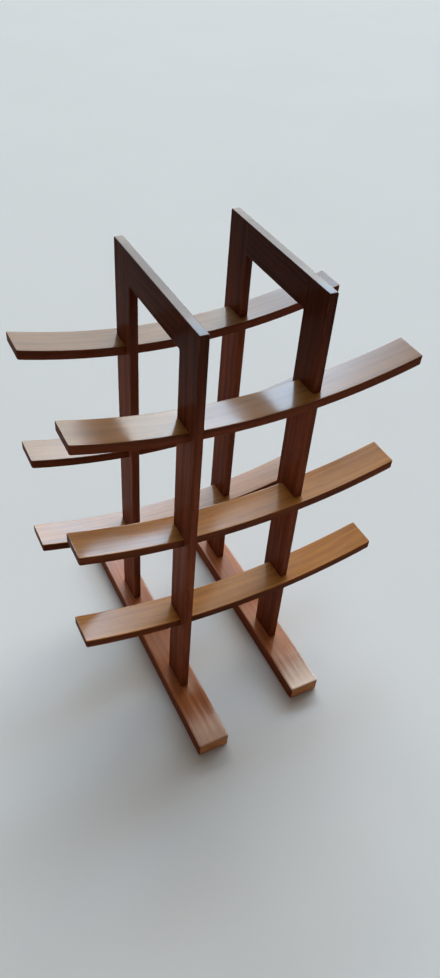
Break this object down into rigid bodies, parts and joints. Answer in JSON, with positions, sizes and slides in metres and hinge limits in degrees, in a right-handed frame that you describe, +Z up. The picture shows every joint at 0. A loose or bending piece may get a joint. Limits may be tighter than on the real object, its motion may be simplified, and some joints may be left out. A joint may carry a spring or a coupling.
{
  "type": "plate display stand",
  "caption": "Tiered wooden display stand: slotted end frames on flat feet, set out of line, with upward-curved slats woven through them in front and rear rows.",
  "frame": {"origin": "on the floor, under the middle of the stand", "axes": "+Z up, +X to the right along the slats, -Y towards the front"},
  "size_m": [0.355, 0.362, 0.5],
  "materials": {
    "frame_wood": "satin varnish over dark red-brown stain",
    "foot_wood": "satin varnish over red-brown stain, paler at the toes",
    "slat_wood": "gloss varnish over golden-brown stain, red-brown edges",
    "dowel_wood": "bare beech",
    "screw_steel": "zinc plated"
  },
  "bodies": {
    "root": {"left_front_post": "frame_wood", "left_rear_post": "frame_wood", "left_top_rail": "frame_wood", "left_foot": "foot_wood", "right_front_post": "frame_wood", "right_rear_post": "frame_wood", "right_top_rail": "frame_wood", "right_foot": "foot_wood", "front_bottom_slat": "slat_wood", "front_middle_slat": "slat_wood", "front_top_slat": "slat_wood", "rear_bottom_slat": "slat_wood", "rear_middle_slat": "slat_wood", "rear_top_slat": "slat_wood", "left_front_dowels": "dowel_wood", "left_rear_dowels": "dowel_wood", "right_front_dowels": "dowel_wood", "right_rear_dowels": "dowel_wood", "left_front_screws": "screw_steel", "left_rear_screws": "screw_steel", "right_front_screws": "screw_steel", "right_rear_screws": "screw_steel"}
  },
  "joints": []
}
